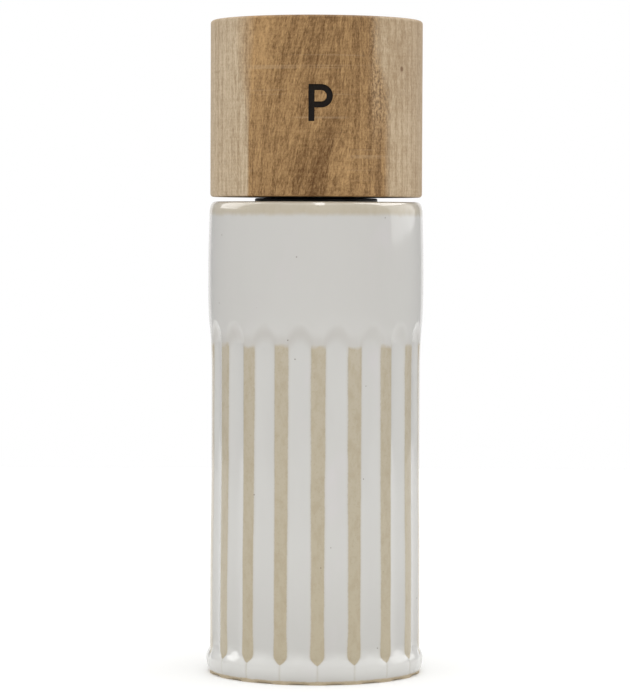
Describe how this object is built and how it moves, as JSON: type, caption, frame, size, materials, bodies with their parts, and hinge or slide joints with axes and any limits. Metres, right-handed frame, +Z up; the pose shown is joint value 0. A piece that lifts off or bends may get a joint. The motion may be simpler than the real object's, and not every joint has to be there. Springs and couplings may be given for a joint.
{
  "type": "pepper mill",
  "caption": "Table pepper mill with a fluted glazed stoneware body and a plain turning wooden head, ceramic grinder underneath.",
  "frame": {"origin": "centre of the foot ring, on the surface that the mill stands on", "axes": "+Z up along the mill's axis, -Y towards the marked front"},
  "size_m": [0.0564, 0.0564, 0.169],
  "materials": {
    "glazed_stoneware": "satin off-white glaze, thin and creamy on the ridges, brown unglazed foot",
    "head_wood": "oiled, pale sapwood at the left side, brown heartwood",
    "black_plastic": "moulded, matt",
    "grey_plastic": "glass-filled, matt",
    "silicone": "soft, translucent grey",
    "burr_ceramic": "fired, unglazed",
    "stainless_steel": "plain",
    "shaft_aluminium": "drawn bar"
  },
  "bodies": {
    "body": {"ceramic_body": "glazed_stoneware", "neck_bush": "black_plastic", "neck_gasket": "silicone", "base_socket": "black_plastic", "base_gasket": "silicone", "grinder_housing": "grey_plastic", "burr_ring": "burr_ceramic", "burr_retainer": "black_plastic"},
    "spindle": {"drive_spindle": "black_plastic", "thrust_washer": "stainless_steel", "drive_shaft": "shaft_aluminium", "shaft_pin": "stainless_steel", "cone_spring": "stainless_steel"},
    "burr_rotor": {"burr_cone": "burr_ceramic", "cone_carrier": "grey_plastic", "spring_washer": "stainless_steel"},
    "adjuster": {"adjusting_knob": "black_plastic", "adjusting_screw": "stainless_steel"},
    "head": {"wooden_head": "head_wood", "head_insert": "black_plastic", "head_insert_screws": "stainless_steel", "head_clip": "stainless_steel"}
  },
  "joints": [
    {"name": "head_turn", "type": "hinge", "parent": "body", "child": "spindle", "pos_m": [0, 0, 0], "axis": [0, 0, 1], "continuous": true},
    {"name": "head_lift", "type": "slide", "parent": "spindle", "child": "head", "axis": [0, 0, 1], "range_m": [0, 0.045], "deforming": ["head_clip"]},
    {"name": "burr_gap", "type": "slide", "parent": "spindle", "child": "burr_rotor", "axis": [0, 0, 1], "range_m": [0, 0.0007], "deforming": ["cone_spring"]},
    {"name": "grind_adjust", "type": "hinge", "parent": "burr_rotor", "child": "adjuster", "pos_m": [0, 0, 0], "axis": [0, 0, 1], "range_deg": [0, 360]}
  ],
  "couplings": [
    {"joint": "grind_adjust", "follows": "burr_gap", "rad_per_m": 8976}
  ]
}
